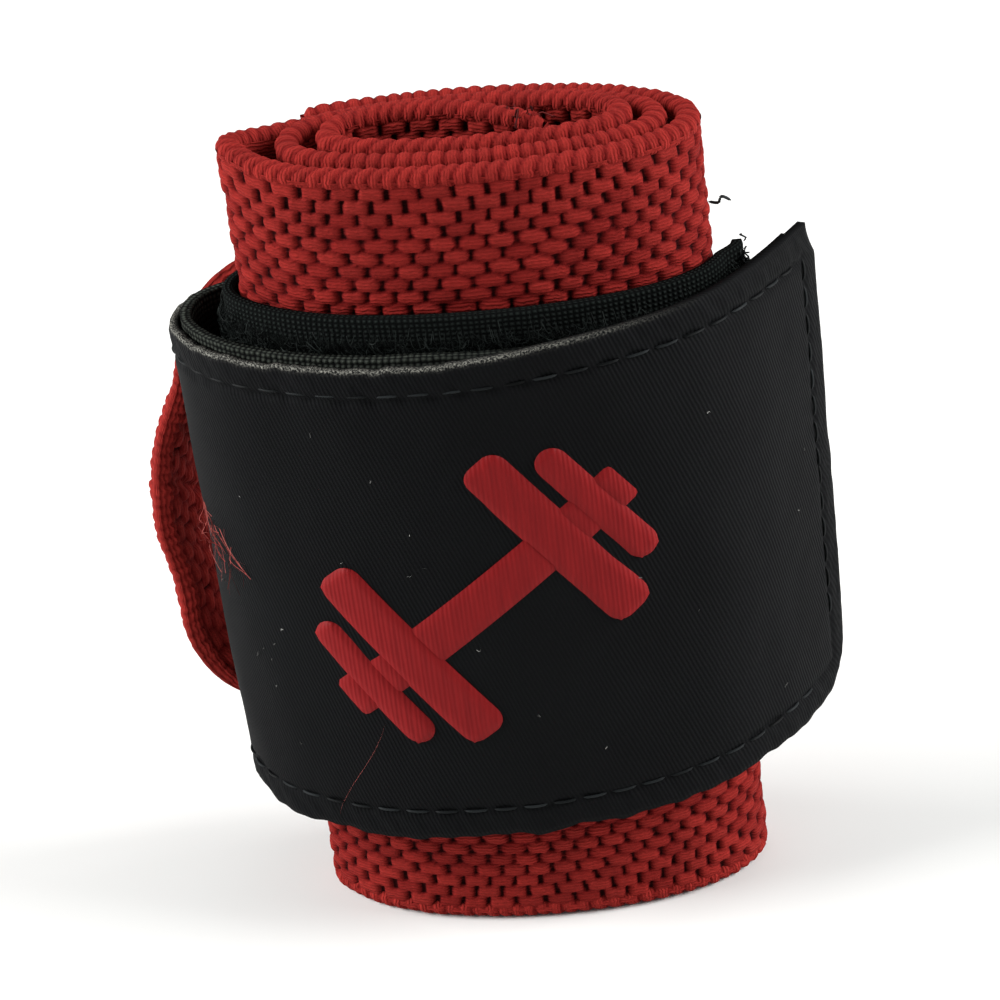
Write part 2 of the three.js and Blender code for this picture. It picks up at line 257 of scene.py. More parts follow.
# each relief is (strength, depth in metres, height), finest first
def finishMaterial(tree, shader, colour, reliefs):
    tree.links.new(colour, shader.inputs["Base Color"])
    under = {}
    for strength, depth, height in reliefs:
        bump = addNode(tree, "ShaderNodeBump", {"Strength": strength, "Distance": depth},
                {"Height": height, **under})
        under = {"Normal": bump.outputs["Normal"]}
    tree.links.new(under["Normal"], shader.inputs["Normal"])


# For a ShaderNodeMix of colours: input 0 is its share, 6 and 7 are the colours, output 2 is the result
mixColours = {"data_type": "RGBA"}
multiply = {"data_type": "RGBA", "blend_type": "MULTIPLY", 0: 1.0}
softLight = {"data_type": "RGBA", "blend_type": "SOFT_LIGHT"}


# hole, shade and lit are picked by relief: painted shade in the weave's holes, painted light on the float
# crowns; the flecks are random tone
yarn = {
    "hole": "#270607", "shade": "#681716", "lit": "#8E2C27", "fleckDark": "#6C1B19", "fleckLight": "#9E352E",
    "filament": 0.34,  # between two filament bundles of a float
    "roughness": 0.88,
}


# textured polyester yarn: matt and soft; by relief its crowns are painted lighter (painted light) and its
# holes darker (painted shade)
def wovenYarn(name, colours, direction):
    material, tree, shader = newMaterial(name,
            {"Roughness": colours["roughness"], "IOR": 1.5, "Metallic": 0.0, "Specular IOR Level": 0.05,
            "Sheen Weight": 0.0})
    flat = addNode(tree, "ShaderNodeUVMap", {"uv_map": "flat"}).outputs["UV"]
    relief = addNode(tree, "ShaderNodeAttribute", {"attribute_name": "relief"}).outputs["Fac"]
    fleck = addNode(tree, "ShaderNodeAttribute", {"attribute_name": "fleck"}).outputs["Fac"]
    # painted shade and painted light: dark in the holes, lighter on the crowns, by relief
    paintedShadeRamp = addNode(tree, "ShaderNodeValToRGB", {}, {0: relief})
    paintedShadeRamp.color_ramp.elements[0].position = 0.1
    paintedShadeRamp.color_ramp.elements[0].color = linear(colours["hole"])
    paintedShadeRamp.color_ramp.elements[1].position = 0.92
    paintedShadeRamp.color_ramp.elements[1].color = linear(colours["lit"])
    middle = paintedShadeRamp.color_ramp.elements.new(0.42)
    middle.color = linear(colours["shade"])
    tone = addNode(tree, "ShaderNodeMix",
            {**mixColours, 6: linear(colours["fleckDark"]), 7: linear(colours["fleckLight"])},
            {0: fleck}).outputs[2]
    mixed = addNode(tree, "ShaderNodeMix", {**softLight, 0: 0.3},
            {6: paintedShadeRamp.outputs["Color"], 7: tone}).outputs[2]
    strands = addNode(tree, "ShaderNodeTexWave",
            {"wave_type": "BANDS", "bands_direction": direction, "Scale": 0.314 / colours["filament"],
            "Distortion": 4.5, "Detail": 3.0, "Detail Scale": 1.6}, {"Vector": flat})
    speck = addNode(tree, "ShaderNodeTexNoise", {"Scale": 2.2, "Detail": 5.0, "Roughness": 0.7},
            {"Vector": flat})
    dim = addNode(tree, "ShaderNodeMapRange", {1: 0.0, 2: 1.0, 3: 0.86, 4: 1.08}, {0: strands.outputs["Fac"]})
    patchy = addNode(tree, "ShaderNodeMapRange", {1: 0.25, 2: 0.75, 3: 0.78, 4: 1.2},
            {0: speck.outputs["Fac"]})
    shaded = addNode(tree, "ShaderNodeMix", multiply, {6: mixed, 7: dim.outputs[0]}).outputs[2]
    shaded = addNode(tree, "ShaderNodeMix", multiply, {6: shaded, 7: patchy.outputs[0]}).outputs[2]
    finishMaterial(tree, shader, shaded,
            [(0.6, 0.00014, strands.outputs["Fac"]), (0.4, 0.0002, speck.outputs["Fac"])])
    return material


elasticYarn = wovenYarn("elasticPolyesterYarn", yarn, "Y")
cordYarn = wovenYarn("selvagePolyesterYarn", {**yarn, "shade": "#6E1918"}, "X")
print("red yarn mixed")

# Elastic band: bean-like floats laid as bricks are, with small holes at their ends, sunk in and painted dark
# as painted shade

weave = {
    # crown and hole beside the solid's face
    "floatPitch": 2.65, "rowHeight": 1.24, "crown": 0.14, "hole": -0.42,
    # from each edge: square floats with slots, then beans
    "cordHeight": 1.35, "bricksTo": 4.4, "beansFrom": 6.4,
    "sway": 0.09, "slot": 0.88, "tilt": 0.75, "underlap": 1.03,  # turns that count as the outer one
    "frontTo": 366, "fineAlong": 0.25, "fineAcross": 0.26,  # the finest samples, in millimetres
}


def weaveRelief(s, z, seed):
    width = roll["bandWidth"]
    rows = round((width - 2 * weave["cordHeight"]) / weave["rowHeight"])
    rowHeight = (width - 2 * weave["cordHeight"]) / rows
    bean = smoothStep(np.minimum(z, width - z), weave["bricksTo"], weave["beansFrom"])
    level = (z - weave["cordHeight"]) / rowHeight
    drift = s / weave["floatPitch"] + 0.16 * np.sin(s / 8.3 + z / 6.1) + 0.1 * np.sin(s / 2.9 - z / 1.7)
    sway = weave["sway"] * (0.25 + 0.75 * bean) * np.cos(2 * math.pi * drift)
    level = level - sway * np.cos(math.pi * level)
    row = np.floor(level)
    v = 2 * (level - row) - 1
    place = drift + np.where(row % 2 == 1, 0.5, 0.0)
    cell = np.floor(place)
    u = 2 * (place - cell) - 1
    pick = np.random.default_rng(seed).random(4096)
    chance = pick[(cell.astype(int) * 131 + row.astype(int) * 17) % 4096]
    other = pick[(cell.astype(int) * 57 + row.astype(int) * 229 + 11) % 4096]
    u = u + 0.3 * (other - 0.5) * (1 - u * u)
    v = v + (0.5 * (chance - 0.5) + weave["tilt"] * (other - 0.4) * u) * (1 - v * v)
    near = np.abs(u) / (0.92 + 0.08 * chance)
    beans = np.clip(1 - near ** 4.4, 0, 1) ** 0.5 * np.clip(1 - 0.8 * np.abs(v) ** 2.6, 0, 1) ** 0.5
    beans = beans * np.clip(1.25 - (near ** 4) * (0.5 + np.abs(v)), 0, 1)
    bricks = np.clip(1 - (np.abs(u) / weave["slot"]) ** 6, 0, 1) ** 0.5
    bricks = bricks * np.clip(1 - 0.6 * np.abs(v) ** 3.2, 0, 1) ** 0.5
    return (bricks + (beans - bricks) * bean) * (0.68 + 0.32 * other), chance


bandTurns = np.linspace(0, roll["turnsWound"], 6000)
bandPoints = bandPlan(bandTurns, np.full(6000, roll["bandWidth"] / 2))
bandReach = reachOf(bandPoints)
bandLength = bandReach[-1]
outerFrom = float(np.interp(roll["turnsWound"] - weave["underlap"], bandTurns, bandReach))
print(f"band length {bandLength:.1f} mm")


def turnAt(s):
    return np.interp(s, bandReach, bandTurns)


def stepped(low, high, step):
    return np.linspace(low, high, max(2, round((high - low) / step) + 1))


def rowsRound(low, high, hidden, margin, steps):  # coarse between, where the band is hidden
    return np.concatenate([stepped(low, hidden[0], steps[0]),
            stepped(hidden[0] + margin, hidden[1] - margin, steps[1]), stepped(hidden[1], high, steps[2])])


def bandFace(s, z, outer):
    a, b = np.meshgrid(s, z, indexing="ij")
    relief, chance = weaveRelief(a, b, 3 if outer else 5)
    out = roll["bandThickness"] / 2 + weave["hole"] + (weave["crown"] - weave["hole"]) * relief
    points = bandPlace(turnAt(a), b, out if outer else -out)
    # relief here also colours the yarn: painted shade in the holes, painted light on the crowns
    return points, np.stack([a, b], -1), relief, chance, not outer


def cutEnd(s, flip):
    half = roll["bandThickness"] / 2
    a, b = np.meshgrid(np.linspace(-half, half, 5), np.linspace(1, roll["bandWidth"] - 1, 60), indexing="ij")
    points = bandPlace(np.full(a.shape, turnAt(s)), b, a * 0.98)
    return points, np.stack([a, b], -1), 0.6, rng.random(a.shape), flip


def elasticBand():  # the outermost turn, and the turns inside it
    low, high = 0.9, roll["bandWidth"] - 0.9
    fine, step = weave["fineAcross"], weave["fineAlong"]
    frontTo = float(np.interp(outerTurn(weave["frontTo"]), bandTurns, bandReach))
    underPatch = rowsRound(low, high, (18, 58), 2, (fine, 4, fine))
    plain = rowsRound(low, high, (6, 68), 4, (0.5, 6, 0.4))
    hollowTo = float(np.interp(1.3, bandTurns, bandReach))
    hollowRows = np.concatenate([stepped(low, 55, 4), stepped(56, high, 0.3)])
    outerPiece = joinGrids("woven_band_outer_turn", elasticYarn, [
        bandFace(stepped(outerFrom, frontTo, step), underPatch, True),
        bandFace(stepped(frontTo, bandLength, step), stepped(low, high, fine * 1.1), True),
        bandFace(stepped(outerFrom, bandLength, 1.4), stepped(low, high, 3), False),
        cutEnd(bandLength, False),
    ])
    innerPiece = joinGrids("woven_band_inner_turns", elasticYarn, [
        bandFace(stepped(0, outerFrom, 0.45), plain, True),
        bandFace(stepped(0, hollowTo, 0.28), hollowRows, False),
        bandFace(stepped(hollowTo, outerFrom, 0.6), plain, False),
        cutEnd(0.0, True),
    ])
    return outerPiece, innerPiece


cord = {
    "capHeight": 1.05, "skirt": 0.75, "halfThickness": 1.13, "wrapPitch": 1.32, "ridge": 0.125, "slant": 0.3,
    "samples": 8, "sides": 16,  # of each wrap along the band, and round the cord
}


def selvageCord(name, top):  # yarns wrapped round the band's edge and a little way down both faces
    count = int(bandLength / cord["wrapPitch"] * cord["samples"])
    s = np.linspace(0.1, bandLength - 0.1, count)
    angle = np.linspace(0, 2 * math.pi, cord["sides"] + 1)
    a, b = np.meshgrid(s, angle, indexing="ij")
    wander = 0.5 * np.sin(s / 9.3)[:, None] + 0.25 * np.sin(s / 3.1 + 1)[:, None]
    lean = cord["slant"] * (1 + 0.8 * np.sin(s / 23))[:, None]
    phase = a / cord["wrapPitch"] + lean * np.cos(b) + wander
    ridge = np.abs(np.sin(math.pi * phase)) ** 0.7
    chance = np.random.default_rng(11).random(4096)[np.floor(phase).astype(int) % 4096]
    grow = (ridge - 0.8) * cord["ridge"] * 2 + 0.07 * (chance - 0.5)
    endTaper = np.minimum(1, np.minimum(s, bandLength - s) / 0.8)[:, None] ** 0.5
    bend, rise = np.cos(b), np.sin(b)
    across = (cord["halfThickness"] + grow) * np.sign(bend) * np.abs(bend) ** 0.75 * endTaper
    reach = np.where(rise > 0, cord["capHeight"], cord["skirt"])
    height = (reach + grow * (rise > 0)) * rise * endTaper
    height = height if top else -height
    middle = roll["bandWidth"] - cord["capHeight"] if top else cord["capHeight"] + 0.06
    points = bandPlace(turnAt(a), middle + height, across)
    # painted shade: the grooves between the wraps are coloured darker than their crests; the chance part is
    # random tone
    relief = (0.3 + 0.7 * ridge) * (0.86 + 0.14 * chance)
    return makeMesh(name, points, gridQuads(*a.shape, flip=top), cordYarn, np.stack([a, b * 1.1], -1),
                    {"relief": relief, "fleck": chance})


outerTurnPiece, innerTurnsPiece = elasticBand()
topCord = selvageCord("selvage_cord_top", True)
bottomCord = selvageCord("selvage_cord_bottom", False)
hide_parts("elastic_band")
print("band woven:", len(outerTurnPiece.data.polygons) + len(innerTurnsPiece.data.polygons), "faces")

# Loop-pile strip sewn to the band's outer face

patch = {
    "width": 50.8, "thickness": 1.4, "bottom": 14.1, "from": 165, "to": 362, "flare": 1.3, "flareRun": 14,
    "selvage": 2.4, "fibres": 5200, "fibreLength": 1.5, "fibreWidth": 0.028,
}


def dullPile():  # brushed loop pile: dull, swallows light, a flat woven edge that catches a little
    material, tree, shader = newMaterial("nylonLoopPile",
            {"Roughness": 0.95, "IOR": 1.5, "Metallic": 0.0, "Specular IOR Level": 0.03,
            "Sheen Weight": 0.0})
    flat = addNode(tree, "ShaderNodeUVMap", {"uv_map": "flat"}).outputs["UV"]
    # 1 on the woven edge
    relief = addNode(tree, "ShaderNodeAttribute", {"attribute_name": "relief"}).outputs["Fac"]
    noise = addNode(tree, "ShaderNodeTexNoise", {"Scale": 2.2, "Detail": 6.0, "Roughness": 0.75},
            {"Vector": flat})
    fuzz = addNode(tree, "ShaderNodeMix", {**mixColours, 6: linear("#050506"), 7: linear("#0E100F")},
            {0: noise.outputs["Fac"]}).outputs[2]
    dots = addNode(tree, "ShaderNodeTexWave",
            {"wave_type": "BANDS", "bands_direction": "X", "Scale": 0.314 / 0.52, "Distortion": 1.6,
            "Detail": 1.0}, {"Vector": flat})
    lines = addNode(tree, "ShaderNodeTexWave",
            {"wave_type": "BANDS", "bands_direction": "Y", "Scale": 0.314 / 0.46, "Distortion": 1.2,
            "Detail": 1.0}, {"Vector": flat})
    grid = addNode(tree, "ShaderNodeMath", {"operation": "MULTIPLY"},
            {0: dots.outputs["Fac"], 1: lines.outputs["Fac"]})
    woven = addNode(tree, "ShaderNodeMix", {**mixColours, 6: linear("#070808"), 7: linear("#212624")},
            {0: grid.outputs[0]}).outputs[2]
    colour = addNode(tree, "ShaderNodeMix", mixColours, {0: relief, 6: fuzz, 7: woven}).outputs[2]
    height = addNode(tree, "ShaderNodeMix", {"data_type": "FLOAT"},
            {0: relief, 2: noise.outputs["Fac"], 3: grid.outputs[0]})
    finishMaterial(tree, shader, colour, [(0.8, 0.0003, height.outputs[0])])
    return material


pileMaterial = dullPile()


def patchPlace(bearing, height, outside):
    seat = roll["bandThickness"] / 2 + roll["seamGap"] + patch["thickness"] / 2
    flare = patch["flare"] * smoothStep(bearing, patch["to"] - patch["flareRun"], patch["to"])
    plan = onBand(outerTurn(bearing), height, seat + flare + outside)
    return np.concatenate([plan, height[..., None]], -1)


def waves(x, y, seed, scale):  # soft random swells, -1 to 1
    draw = np.random.default_rng(seed)
    total = np.zeros(np.broadcast(x, y).shape)
    for _ in range(9):
        kx, ky = draw.normal(0, 1 / scale, 2)
        total += np.sin(x * kx * 2 * math.pi + y * ky * 2 * math.pi + draw.random() * 6.3)
    return total / 4


def loopPatch():
    bottom, width, half = patch["bottom"], patch["width"], patch["thickness"] / 2
    bearings = np.linspace(patch["from"], patch["to"], 300)
    reach = reachOf(patchPlace(bearings, np.full(300, 40.0), np.zeros(300)))
    along = np.interp(np.linspace(0, reach[-1], 230), reach, bearings)
    across = np.concatenate([bottom + np.array([0, 0.3, 0.8, 2.2, 6]),
            np.linspace(bottom + 10, bottom + width - 14, 8), bottom + width - np.arange(13, 0.2, -0.5),
            [bottom + width - 0.25, bottom + width]])

    def fromEdge(b):
        return np.minimum(b - bottom, bottom + width - b)

    def outer(a, b):
        rim = np.sqrt(np.clip(fromEdge(b) / 0.5, 0.1, 1))
        pile = smoothStep(fromEdge(b), patch["selvage"] - 0.4, patch["selvage"] + 0.8)
        s = np.interp(a, bearings, reach)
        return half * (0.55 + 0.25 * rim) + pile * (0.12 + 0.1 * waves(s, b, 21, 1.1))

    def inner(a, b):
        return -half * (0.6 + 0.3 * np.sqrt(np.clip(fromEdge(b) / 0.5, 0, 1)))

    a, b = np.meshgrid(along, across, indexing="ij")
    relief = 1 - smoothStep(fromEdge(b), patch["selvage"] - 0.3, patch["selvage"] + 0.3)
    piece = closedSheet("loop_pile_strip", patchPlace, along, across, outer, inner,
                        lambda a, b: np.stack([np.interp(a, bearings, reach), b], -1), pileMaterial, relief)
    return piece, reach[-1], bearings, reach


patchPiece, patchLength, patchBearings, patchReach = loopPatch()
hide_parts("loop_patch")


def looseFibres(count, seed):  # curled pile fibres that stand off the strip near its upper edge
    draw = np.random.default_rng(seed)
    start = draw.uniform(2, patchLength - 1, count)
    height = patch["bottom"] + patch["width"] - patch["selvage"] - draw.exponential(2.6, count).clip(0, 9)
    height = height + draw.normal(0, 0.3, count)
    long = patch["fibreLength"] * draw.uniform(0.5, 1.6, count)
    turn, lean = draw.uniform(0, 2 * math.pi, count), draw.uniform(0.3, 1.0, count)
    t = np.linspace(0, 1, 6)
    s = start[:, None] + long[:, None] * np.cos(turn)[:, None] * t * lean[:, None]
    z = height[:, None] + long[:, None] * np.sin(turn)[:,
            None] * t * 0.8 + 0.25 * np.sin(t * 5 + turn[:, None])
    stand = np.sin(math.pi * t * draw.uniform(0.6, 1.0, count)[:, None])
    out = patch["thickness"] / 2 * 0.7 + 0.05 + long[:, None] * 0.38 * stand
    return patchPlace(np.interp(s, patchReach, patchBearings), z, out)


def ribbons(name, paths, width, material, seed):  # flat fibres, each two triangles a step
    draw = np.random.default_rng(seed)
    count, steps = paths.shape[:2]
    aside = draw.normal(0, 1, (count, 1, 3))
    aside *= width / np.linalg.norm(aside, axis=-1, keepdims=True)
    points = np.stack([paths - aside, paths + aside], 2).reshape(-1, 3)
    first = (np.arange(count)[:, None] * steps + np.arange(steps - 1)[None]).ravel() * 2
    quads = np.stack([first, first + 1, first + 3, first + 2], -1)
    fleck = np.repeat(draw.random(count), steps * 2)
    return makeMesh(name, points, quads, material, np.zeros((len(points), 2)),
            {"fleck": fleck, "relief": np.ones(len(points))})


def fibreMaterial(name, dark, light, roughness=0.6):  # single filaments, a little brighter than the cloth
    material, tree, shader = newMaterial(name,
            {"Roughness": roughness, "IOR": 1.5, "Metallic": 0.0, "Specular IOR Level": 0.05})
    fleck = addNode(tree, "ShaderNodeAttribute", {"attribute_name": "fleck"}).outputs["Fac"]
    tree.links.new(addNode(tree, "ShaderNodeMix", {**mixColours, 6: linear(dark), 7: linear(light)},
            {0: fleck}).outputs[2], shader.inputs["Base Color"])
    return material


pileFibre = fibreMaterial("nylonPileFibre", "#030404", "#222725")
fuzzPiece = ribbons("loop_pile_fibres", looseFibres(patch["fibres"], 31), patch["fibreWidth"], pileFibre, 32)
print("loop-pile strip sewn on")

# Closing tab: satin cloth outside, tape inside

tab = {
    "width": 49.4, "bottom": 12, "rise": 3, "foldReach": 4.3,
    "freeLength": 14.4, "freeTurn": 5, "cornerRadius": 6.5,
    "foldRow": 4.3,  # where the fold is, in rows of tabRows
    "cloth": 1.0, "tapeInset": 0.4, "rawEdge": 0.55, "cornerCut": 1.7, "cornerTall": 0.09, "edgeWave": 0.3,
    "stitchIn": 3.0, "stitchPitch": 2.8, "stitchLength": 2.3, "stitchRadius": 0.13,
}
tabRows = [  # bearing, off, off at the lower edge, rise; the first three lie on the band's outer end
    (100, 0, 0, 0), (113, 0, 0, 0), (126, 0, 0, 0), (150, 0.72, 0.6, 0), (168, 1, 0.8, 0),
    (179, 0.7, 0.5, 0), (196, 0.22, 0.12, 0), (222, 0, 0, 0), (245, 0, 0, 0.06), (270, 0, 0, 0.2),
    (295, 0, 0, 0.5), (320, 0, 0, 0.8), (340, 0, 0, 0.95),
]
sewnRows = 3
tabLastRow = len(tabRows) + 1


def tabWay(height, lower):
    halfTab = tab["cloth"] + roll["seamGap"] / 2
    sewnSeat = roll["bandThickness"] / 2 + roll["seamGap"] + halfTab
    tightSeat = sewnSeat + patch["thickness"] + roll["seamGap"]
    level = np.array(float(height))
    places = []
    for i, (bearing, off, offLow, _) in enumerate(tabRows):
        if i < sewnRows:
            places.append(onBand(np.array(outerTurn(bearing) + 1), level, sewnSeat))
        else:
            reach = tightSeat + tab["foldReach"] * (off + (offLow - off) * lower)
            places.append(onBand(np.array(outerTurn(bearing)), level, reach))
    last = outerTurn(tabRows[-1][0])
    run = onBand(np.array(last + 1e-3), level, tightSeat) - onBand(np.array(last - 1e-3), level, tightSeat)
    run *= tab["freeLength"] / 2 / np.linalg.norm(run)
    half = places[-1] + run
    c, s = math.cos(math.radians(tab["freeTurn"])), math.sin(math.radians(tab["freeTurn"]))
    places += [half, half + np.array([c * run[0] - s * run[1], s * run[0] + c * run[1]])]
    return smoothWay(places)


tabTop = tab["bottom"] + tab["width"]
tabLow, tabHigh = tabWay(tab["bottom"], 1), tabWay(tabTop, 0)
tabShares, tabReach = lengthsAlong(tabHigh)
tabLength = tabReach[-1]
print(f"tab length {tabLength:.1f} mm")


def onTab(along, height, outside):
    share = ((height - tab["bottom"]) / tab["width"])[..., None]

    def at(t):
        return tabLow(t) * (1 - share) + tabHigh(t) * share

    run = at(np.minimum(1, along + 1e-3)) - at(np.maximum(0, along - 1e-3))
    run /= np.linalg.norm(run, axis=-1, keepdims=True)
    plan = at(along) + np.stack([run[..., 1], -run[..., 0]], -1) * np.asarray(outside)[..., None]
    return np.concatenate([plan, height[..., None]], -1)


def tabEdges(along, inset=0.0):  # heights of its lower and upper edge
    rise = tab["rise"] * np.interp(along * tabLastRow, [*range(len(tabRows)), tabLastRow],
            [r[3] for r in tabRows] + [1])
    toEnd = np.minimum(tab["cornerRadius"], (1 - along) * tabLength)
    corner = tab["cornerRadius"] - np.sqrt(tab["cornerRadius"] ** 2 - (tab["cornerRadius"] - toEnd) ** 2)
    return tab["bottom"] + inset + rise + corner, tabTop - inset + rise


# tightly woven polyester satin: a low, broad sheen, fine slanting ribs and a grey fuzz on its raw edge
def satinCloth():
    material, tree, shader = newMaterial("blackPolyesterSatin",
            {"Roughness": 0.66, "IOR": 1.5, "Metallic": 0.0, "Specular IOR Level": 0.035,
            "Sheen Weight": 0.0})
    flat = addNode(tree, "ShaderNodeUVMap", {"uv_map": "flat"}).outputs["UV"]
    turned = addNode(tree, "ShaderNodeMapping", {"Rotation": (0, 0, math.radians(-20))}, {"Vector": flat})
    ribs = addNode(tree, "ShaderNodeTexWave",
            {"wave_type": "BANDS", "bands_direction": "X", "Scale": 0.314 / 0.37, "Distortion": 0.8,
            "Detail": 2.0, "Detail Scale": 0.6}, {"Vector": turned.outputs[0]})
    grain = addNode(tree, "ShaderNodeTexNoise", {"Scale": 5.0, "Detail": 4.0, "Roughness": 0.7},
            {"Vector": flat})
    broad = addNode(tree, "ShaderNodeTexNoise", {"Scale": 0.06, "Detail": 3.0, "Roughness": 0.55},
            {"Vector": flat})
    cloth = addNode(tree, "ShaderNodeMix", {**mixColours, 6: linear("#0A0A0B"), 7: linear("#101112")},
            {0: broad.outputs["Fac"]}).outputs[2]
    lightRib = addNode(tree, "ShaderNodeMapRange", {1: 0.0, 2: 1.0, 3: 0.82, 4: 1.24},
            {0: ribs.outputs["Fac"]})
    ribbed = addNode(tree, "ShaderNodeMix", multiply, {6: cloth, 7: lightRib.outputs[0]}).outputs[2]
    grained = addNode(tree, "ShaderNodeMix", {**softLight, 0: 0.22},
            {6: ribbed, 7: grain.outputs["Color"]}).outputs[2]
    # 1 on the raw edge
    raw = addNode(tree, "ShaderNodeAttribute", {"attribute_name": "relief"}).outputs["Fac"]
    patchy = addNode(tree, "ShaderNodeMapRange", {1: 0.46, 2: 0.6, 3: 0.0, 4: 1.0}, {0: grain.outputs["Fac"]})
    frayed = addNode(tree, "ShaderNodeMix", {**mixColours, 6: linear("#101112"), 7: linear("#85847C")},
            {0: patchy.outputs[0]}).outputs[2]
    colour = addNode(tree, "ShaderNodeMix", mixColours, {0: raw, 6: grained, 7: frayed}).outputs[2]
    finishMaterial(tree, shader, colour,
            [(0.4, 0.0001, ribs.outputs["Fac"]), (0.15, 0.0001, grain.outputs["Fac"])])
    return material


satin = satinCloth()


def cutCorner(s, across):  # the free end's upper corner leans back
    cut = tab["cornerCut"] * smoothStep(s, tabLength - 7, tabLength) * smoothStep(across,
            1 - tab["cornerTall"], 1)
    wave = 0.5 * tab["edgeWave"] * waves(across * tab["width"], s * 0, 46, 5)
    return s - cut + wave * smoothStep(s, tabLength - 4, tabLength)


def farFromFold(s):  # 1 where the cover's edge is turned over the tape, on the free end
    return smoothStep(s, foldReach + 30, foldReach + 48)


def stitchGroove(s, z, low, high):  # the seam pulls the cloth in, and the hem outside it is puckered
    toEdge = np.minimum(np.minimum(z - low, high - z), tabLength - s)
    groove = np.exp(-((toEdge - tab["stitchIn"]) / 0.4) ** 2)
    beat = 0.5 + 0.5 * np.cos(2 * math.pi * (s + z) / tab["stitchPitch"])
    hem = smoothStep(toEdge, 0, 0.7)
    pucker = np.exp(-((toEdge - tab["stitchIn"] * 0.55) / 1.2) ** 2) * (
        waves(s, z * 0.35, 43, 1.5) + 0.6 * np.sin(2 * math.pi * (s + z) / tab["stitchPitch"] + 0.4 * z))
    return -0.3 * groove * (0.6 + 0.4 * beat) + 0.075 * pucker + 0.2 * (hem - 1)


foldReach = float(np.interp(tab["foldRow"] / tabLastRow, tabShares, tabReach))


def tabCover():
    outside, half = roll["seamGap"] / 2 + tab["cloth"] / 2, tab["cloth"] / 2
    along = np.linspace(0, tabLength, 340)
    edge = np.array([0, 0.15, 0.35, 0.6, 1.0, 1.5, 2.0, 2.4, 2.7, 2.9, 3.1, 3.35, 3.7, 4.3,
            5.2]) / tab["width"]
    across = np.concatenate([edge, np.linspace(0.125, 0.875, 44), 1 - edge[::-1]])

    def outer(a, b):
        share = np.interp(a, tabReach, tabShares)
        low, high = tabEdges(share)
        z = low + (high - low) * b
        swell = 0.07 * waves(a, z, 41, 16) + 0.02 * waves(a, z, 42, 4)
        return outside + half + stitchGroove(a, z, low, high) + swell

    def inner(a, b):
        return np.full(a.shape, outside - half + 0.02)

    def place(s, across, outside):  # its raw upper edge stays a little below the tape's
        share = np.interp(cutCorner(s, across), tabReach, tabShares)
        low, high = tabEdges(share)
        low = low + tab["edgeWave"] * (waves(s, s * 0, 45,
                6) + 0.25 * np.cos(2 * math.pi * s / tab["stitchPitch"]))
        short = tab["rawEdge"] * (1 - farFromFold(s)) * (1 + 0.25 * waves(s, s * 0, 44, 3))
        short = short * smoothStep(across, 0.5, 1)
        return onTab(share, low + (high - low - short) * across, outside)

    a, b = np.meshgrid(along, across, indexing="ij")
    seen = smoothStep(a, foldReach - 6, foldReach) * (1 - smoothStep(a, foldReach + 34, foldReach + 60))
    raw = smoothStep(b * tab["width"], tab["width"] - 0.4, tab["width"] - 0.1) * seen
    return closedSheet("tab_satin_cover", place, along, across, outer, inner,
                       lambda a, b: np.stack([a, b * tab["width"]], -1), satin, raw, innerRelief=0.0)


coverPiece = tabCover()
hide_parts("tab_cover")


def tapeCloth():  # stiff woven nylon tape: matt, dotted by its crossing yarns, with a lighter woven edge
    material, tree, shader = newMaterial("nylonHookTape",
            {"Roughness": 0.85, "IOR": 1.53, "Metallic": 0.0, "Specular IOR Level": 0.04})
    flat = addNode(tree, "ShaderNodeUVMap", {"uv_map": "flat"}).outputs["UV"]
    dots = addNode(tree, "ShaderNodeTexVoronoi", {"feature": "F1", "Scale": 1.75, "Randomness": 0.2},
            {"Vector": flat})
    spots = addNode(tree, "ShaderNodeMapRange", {1: 0.1, 2: 0.55, 3: 1.0, 4: 0.0},
            {0: dots.outputs["Distance"]})
    cloth = addNode(tree, "ShaderNodeMix", {**mixColours, 6: linear("#060707"), 7: linear("#121413")},
            {0: spots.outputs[0]}).outputs[2]
    edge = addNode(tree, "ShaderNodeMix", {**mixColours, 6: linear("#080909"), 7: linear("#3E423C")},
            {0: spots.outputs[0]}).outputs[2]
    onEdge = addNode(tree, "ShaderNodeAttribute", {"attribute_name": "relief"}).outputs["Fac"]
    colour = addNode(tree, "ShaderNodeMix", mixColours, {0: onEdge, 6: cloth, 7: edge}).outputs[2]
    finishMaterial(tree, shader, colour, [(0.7, 0.00025, spots.outputs[0])])
    return material


tape = tapeCloth()


def hookTape():
    outside, half, inset = roll["seamGap"] / 2 + tab["cloth"] / 2, tab["cloth"] / 2, tab["tapeInset"]
    along = np.linspace(inset, tabLength - 3 * inset, 260)
    edge = np.array([0, 0.25, 0.7, 1.3, 2.2, 3.5, 5.5]) / tab["width"]
    across = np.concatenate([edge, np.linspace(0.15, 0.85, 12), 1 - edge[::-1]])

    def place(s, across, outside):
        share = np.interp(cutCorner(s, across), tabReach, tabShares)
        low, high = tabEdges(share, inset)
        return onTab(share, low + (high - low + inset + 0.1 - farFromFold(s)) * across, outside)

    def outer(a, b):
        return np.full(a.shape, -outside + half + 0.06)

    def inner(a, b):
        rim = np.exp(-((np.minimum(b, 1 - b) * tab["width"] - 0.7) / 0.6) ** 2)
        return -outside - half * 0.8 - 0.12 * rim + 0.03 * np.sin(2 * math.pi * a / 0.9) * rim

    a, b = np.meshgrid(along, across, indexing="ij")
    onEdge = smoothStep(b * tab["width"], tab["width"] - 1.5, tab["width"] - 1.2) * (1 - 0.8 * farFromFold(a))
    return closedSheet("tab_hook_tape", place, along, across, outer, inner,
                       lambda a, b: np.stack([a, b * tab["width"]], -1), tape, onEdge)


tapePiece = hookTape()
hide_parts("hook_tape")
print("tab folded round the roll")

threadBlack = fibreMaterial("blackSewingThread", "#0C0D0D", "#232627", 0.5)


